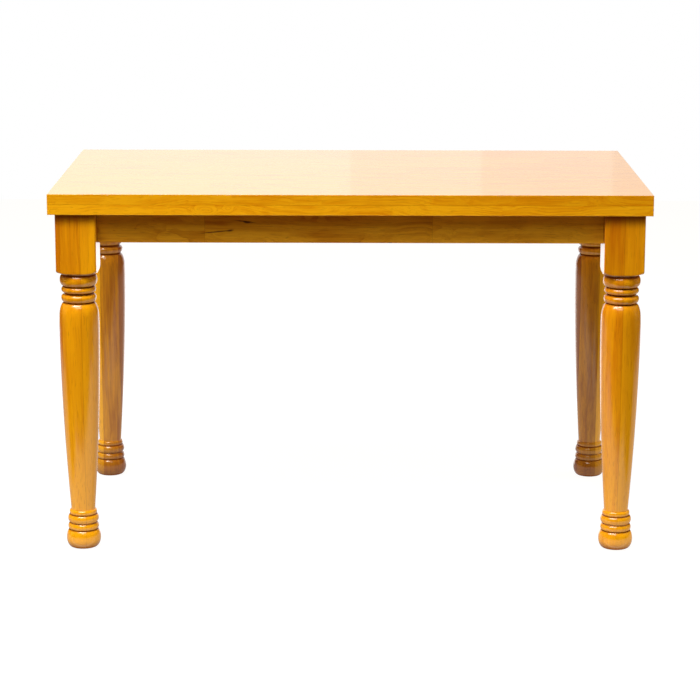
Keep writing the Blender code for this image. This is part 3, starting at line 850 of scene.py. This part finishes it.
def screw_mesh(length):
    """A pan-head screw along +Z, with a cross recess; the underside of its head is at the origin."""
    # the head's outline, as shares of its radius and height
    head = [(0.0012, -1.0), (0.60, -0.97), (0.82, -0.80), (0.95, -0.55), (1.0, -0.28), (1.0, 0.0)]
    pitch, depth, tip = 0.0016, 0.0005, 0.005

    def reach(turn, height):
        if height < 0:
            share = height / SCREW_HEAD_HEIGHT
            for (near, low), (far, high) in zip(head, head[1:]):
                if low <= share <= high:
                    return SCREW_HEAD_RADIUS * (near + (far - near) * (share - low) / (high - low))
        taper = min(1.0, (length - height) / tip + 0.08)
        shank = SCREW_RADIUS - depth + depth * helix(turn, height, pitch)
        return shank * taper

    heights = [SCREW_HEAD_HEIGHT * high for _, high in head[:-1]] + [-GAP / 10]
    heights += steps_between(0.0, length, pitch / 5)
    mesh = surface_of_turns("screw", around(16), heights, reach)
    half_slot, arm, floor = 0.00045, 0.0021, -0.0014
    top = -SCREW_HEAD_HEIGHT - 0.001
    recess = [
        eased_box("cutter", (-arm, -half_slot, top), (arm, half_slot, floor)),
        eased_box("cutter", (-half_slot, -arm, top), (half_slot, arm, floor)),
    ]
    return combine(mesh, recess)


def bolt_mesh():
    """A hanger bolt along +Z: a coarse wood thread from its point, then a fine machine thread."""
    length = BOLT_INNER_END - BOLT_OUTER_END
    point, chamfer = 0.008, 0.001
    wood_pitch, wood_depth, wood_step = 0.0032, 0.0009, 0.0005
    fine_pitch, fine_depth, fine_step = 0.00125, 0.0006, 0.00025

    def reach(turn, height):
        if height < BOLT_WOOD_THREAD:
            thread = wood_depth * (helix(turn, height, wood_pitch) - 1)
            return (BOLT_RADIUS + thread) * min(1.0, 0.12 + height / point)
        thread = fine_depth * (helix(turn, height, fine_pitch) - 1)
        return min(BOLT_RADIUS + thread, BOLT_RADIUS - chamfer + (length - height))

    heights = steps_between(0.0, BOLT_WOOD_THREAD, wood_step)
    heights += steps_between(BOLT_WOOD_THREAD + fine_step, length, fine_step)
    return surface_of_turns("bolt", around(20), heights, reach)


def washer_mesh():
    """A flat washer with rounded edges, from the origin up."""
    bore = BOLT_RADIUS + GAP
    edge = 0.0004
    top = WASHER_THICKNESS
    rim = WASHER_RADIUS
    profile = [(bore, edge), (bore + edge, 0.0), (rim - edge, 0.0), (rim, edge), (rim, top - edge)]
    profile += [(rim - edge, top), (bore + edge, top), (bore, top - edge)]
    return turned("washer", profile, 48, wrap=True)


def nut_mesh():
    """A hexagon nut whose corners are chamfered and whose bore is countersunk."""
    bore = BOLT_RADIUS + GAP
    flat = NUT_WIDTH / 2
    chamfer = 0.0009
    widest = flat / math.cos(math.pi / 6)
    turns = around(60)

    def outer(height, limit):
        ring = []
        for turn in turns:
            away = (turn + math.pi / 6) % (math.pi / 3) - math.pi / 6
            radius = min(flat / math.cos(away), limit)
            ring.append((radius * math.cos(turn), radius * math.sin(turn), height))
        return ring

    def inner(height, radius):
        return circle(radius, height, turns)

    top = NUT_HEIGHT
    rings = [inner(chamfer, bore), inner(0.0, bore + chamfer), outer(0.0, flat), outer(chamfer, widest)]
    rings += [outer(top - chamfer, widest), outer(top, flat), inner(top, bore + chamfer)]
    rings.append(inner(top - chamfer, bore))
    return skin("nut", rings, wrap=True)


def glide_mesh():
    """A nail-on glide: a domed disc on the floor, with its nail up the middle of the foot."""
    nail_top = GLIDE_THICKNESS + NAIL_LENGTH
    rim = GLIDE_RADIUS
    profile = [(rim - 0.0016, 0.0), (rim - 0.0006, 0.0003), (rim, 0.0009), (rim, 0.0016)]
    profile += [(rim - 0.0004, GLIDE_THICKNESS), (NAIL_RADIUS, GLIDE_THICKNESS)]
    profile += [(NAIL_RADIUS, nail_top - 0.003), (0.0003, nail_top)]
    return turned("glide", profile, 48)


def make_hardware():
    """The batten, corner blocks and glides, and every bolt, washer, nut and screw."""
    zinc = plated_steel("zinc_plated_steel", (0.72, 0.71, 0.68), 0.28)
    black = plated_steel("black_screw_steel", (0.10, 0.10, 0.11), 0.35)
    brown = nylon("brown_glide_nylon", (0.14, 0.09, 0.05))
    block_wood = wood("sealed_block_wood", "XYZ", PALE_WOOD, 41.0, 0.090, 0.6, gloss=0.3, seam=0.2)
    batten_wood = wood("sealed_batten_wood", "YXZ", PALE_WOOD, 43.0, 0.090, 0.9, row_shift=0.5, gloss=0.3)
    make_batten(batten_wood)
    block, glide, bolt = corner_block_mesh(), glide_mesh(), bolt_mesh()
    washer, nut = washer_mesh(), nut_mesh()
    block_screw, top_screw = screw_mesh(BLOCK_SCREW_LENGTH), screw_mesh(TOP_SCREW_LENGTH)
    batten_screw = screw_mesh(BATTEN_SCREW_LENGTH)
    diagonal = Matrix.Rotation(math.pi / 4, 4, "Z") @ Matrix.Rotation(math.pi / 2, 4, "Y")
    face = BLOCK_INNER_SUM / math.sqrt(2)
    for corner in CORNERS:
        matrix = corner_frame(corner)
        add_piece("corner_block_" + corner, placed(block, matrix), block_wood)
        add_piece("foot_glide_" + corner, placed(glide, matrix), brown)
        stack = (("bolt", bolt, BOLT_OUTER_END), ("washer", washer, face + GAP))
        stack += (("nut", nut, face + WASHER_THICKNESS + 2 * GAP),)
        for kind, mesh, distance in stack:
            along = distance / math.sqrt(2)
            spot = Matrix.Translation((along, along, BLOCK_MIDDLE)) @ diagonal
            add_piece(f"leg_{kind}_{corner}", placed(mesh, matrix @ spot), zinc)
        number = 1
        for height in block_screw_heights():
            reach, seat = BLOCK_SCREW_REACH, BLOCK_SCREW_SEAT
            towards_y = Matrix.Translation((reach, seat, height)) @ Matrix.Rotation(math.pi / 2, 4, "X")
            towards_x = Matrix.Translation((seat, reach, height)) @ Matrix.Rotation(-math.pi / 2, 4, "Y")
            for spot in (towards_y, towards_x):
                node = f"block_screw_{corner}_{number}"
                add_piece(node, placed(block_screw, matrix @ spot), black)
                number += 1
        x, y = top_screw_place()
        spot = Matrix.Translation((x, y, BLOCK_BOTTOM + TOP_SCREW_COUNTERBORE - GAP))
        add_piece("top_screw_" + corner, placed(top_screw, matrix @ spot), black)
    for number, (x, y) in enumerate(BATTEN_SCREW_PLACES, 1):
        spot = Matrix.Translation((x, y, TOP_UNDERSIDE + BATTEN_SCREW_COUNTERBORE - GAP))
        add_piece(f"batten_screw_{number}", placed(batten_screw, spot), black)


# ---- studio ----


def make_camera():
    """A long lens a little above the top, looking slightly down."""
    camera = bpy.data.objects.new("camera", bpy.data.cameras.new("camera"))
    bpy.context.scene.collection.objects.link(camera)
    camera.data.sensor_width = 36.0
    camera.data.lens = 125.36
    camera.data.clip_end = 50.0
    downward = 0.2133
    roll = 0.0024
    look = Matrix.Rotation(math.pi / 2 - downward, 4, "X") @ Matrix.Rotation(roll, 4, "Z")
    camera.matrix_world = Matrix.Translation((0.0, -5.187, 1.482)) @ look
    bpy.context.scene.camera = camera


def make_floor():
    """A plain white floor that only the camera sees; the bounce lights stand for the light off it."""
    rings = [
        [(-4.0, -4.0, height), (4.0, -4.0, height), (4.0, 4.5, height), (-4.0, 4.5, height)]
        for height in (-0.01, 0.0)
    ]
    floor = bpy.data.objects.new("studio_floor", skin("studio_floor", rings))
    bpy.context.scene.collection.objects.link(floor)
    s = Shader("white_sheet")
    s.set(Base_Color=(0.12, 0.12, 0.12, 1.0), Roughness=0.9, Specular_IOR_Level=0.0)
    s.set(Emission_Color=(1.0, 0.99, 0.97, 1.0), Emission_Strength=0.96)
    floor.data.materials.append(s.material)
    floor.visible_diffuse = False
    floor.visible_glossy = False
    floor.visible_shadow = False


def make_world():
    """White to the camera; as a source of light, a dim room with a lighter ceiling."""
    world = bpy.data.worlds.new("studio")
    bpy.context.scene.world = world
    world.use_nodes = True
    tree = world.node_tree
    tree.nodes.clear()

    def node(kind, **settings):
        made = tree.nodes.new("ShaderNode" + kind)
        for key, value in settings.items():
            setattr(made, key, value)
        return made

    coordinates = node("TexCoord")
    split = node("SeparateXYZ")
    tree.links.new(coordinates.outputs["Generated"], split.inputs[0])
    ceiling = node("MapRange", interpolation_type="SMOOTHSTEP")
    tree.links.new(split.outputs["Z"], ceiling.inputs["Value"])
    for name, number in zip(("From Min", "From Max", "To Min", "To Max"), (0.5, 1.0, 0.01, 0.10)):
        ceiling.inputs[name].default_value = number
    seen = node("Background")
    seen.inputs["Color"].default_value = (1.0, 1.0, 1.0, 1.0)
    lit = node("Background")
    tree.links.new(ceiling.outputs["Result"], lit.inputs["Strength"])
    choose = node("MixShader")
    tree.links.new(node("LightPath").outputs["Is Camera Ray"], choose.inputs[0])
    tree.links.new(lit.outputs[0], choose.inputs[1])
    tree.links.new(seen.outputs[0], choose.inputs[2])
    tree.links.new(choose.outputs[0], node("OutputWorld").inputs["Surface"])


def area_light(name, place, target, size, radiance, colour=(1.0, 1.0, 1.0), glossy=True):
    """A rectangular softbox of the given radiance, where 1 is a white that just fills the picture."""
    data = bpy.data.lights.new(name, "AREA")
    data.shape = "RECTANGLE"
    data.size, data.size_y = size
    data.energy = radiance * math.pi * size[0] * size[1]
    data.color = colour
    light = bpy.data.objects.new(name, data)
    bpy.context.scene.collection.objects.link(light)
    light.location = place
    light.rotation_euler = (Vector(target) - Vector(place)).to_track_quat("-Z", "Y").to_euler()
    light.visible_glossy = glossy


def make_lights():
    """Softboxes in front, side walls, bounce off the floor, and the backdrop that the top reflects."""
    warm = (1.0, 0.985, 0.95)
    area_light("key_softbox", (-1.0, -2.35, 5.3), (-0.1, -0.25, 0.7), (3.4, 2.3), 12.3, warm)
    area_light("left_softbox", (-1.5, -1.75, 3.0), (-0.4, -0.25, 0.7), (1.4, 1.4), 9.0, warm)
    area_light("front_fill", (-0.5, -3.8, 3.3), (-0.2, -0.3, 0.65), (2.6, 1.1), 5.2, warm)
    area_light("right_wall", (2.6, 0.4, 1.2), (0.5, 0.0, 0.5), (2.2, 2.2), 2.9, warm, glossy=False)
    area_light("left_wall", (-2.6, 0.4, 1.2), (-0.5, 0.0, 0.5), (2.2, 2.2), 1.9, warm, glossy=False)
    area_light("floor_bounce", (0.0, 1.6, -0.02), (0.0, 1.6, 1.0), (4.4, 3.9), 0.62)
    area_light("near_bounce", (0.0, -0.64, -0.015), (0.0, -0.64, 1.0), (2.0, 0.62), 0.98)
    strips, width = 6, 0.4
    for number in range(strips):
        x = (number - (strips - 1) / 2) * width
        radiance = 1.35 - 0.28 * max(0.0, x + 0.2)
        place = (x, 2.2, 1.4)
        area_light(f"backdrop_{number}", place, (x, 0.0, 1.4), (width, 3.6), radiance)


def main():
    make_top()
    make_aprons()
    make_legs()
    make_hardware()
    make_camera()
    make_floor()
    make_world()
    make_lights()
    bpy.context.scene.view_settings.view_transform = "Standard"


main()
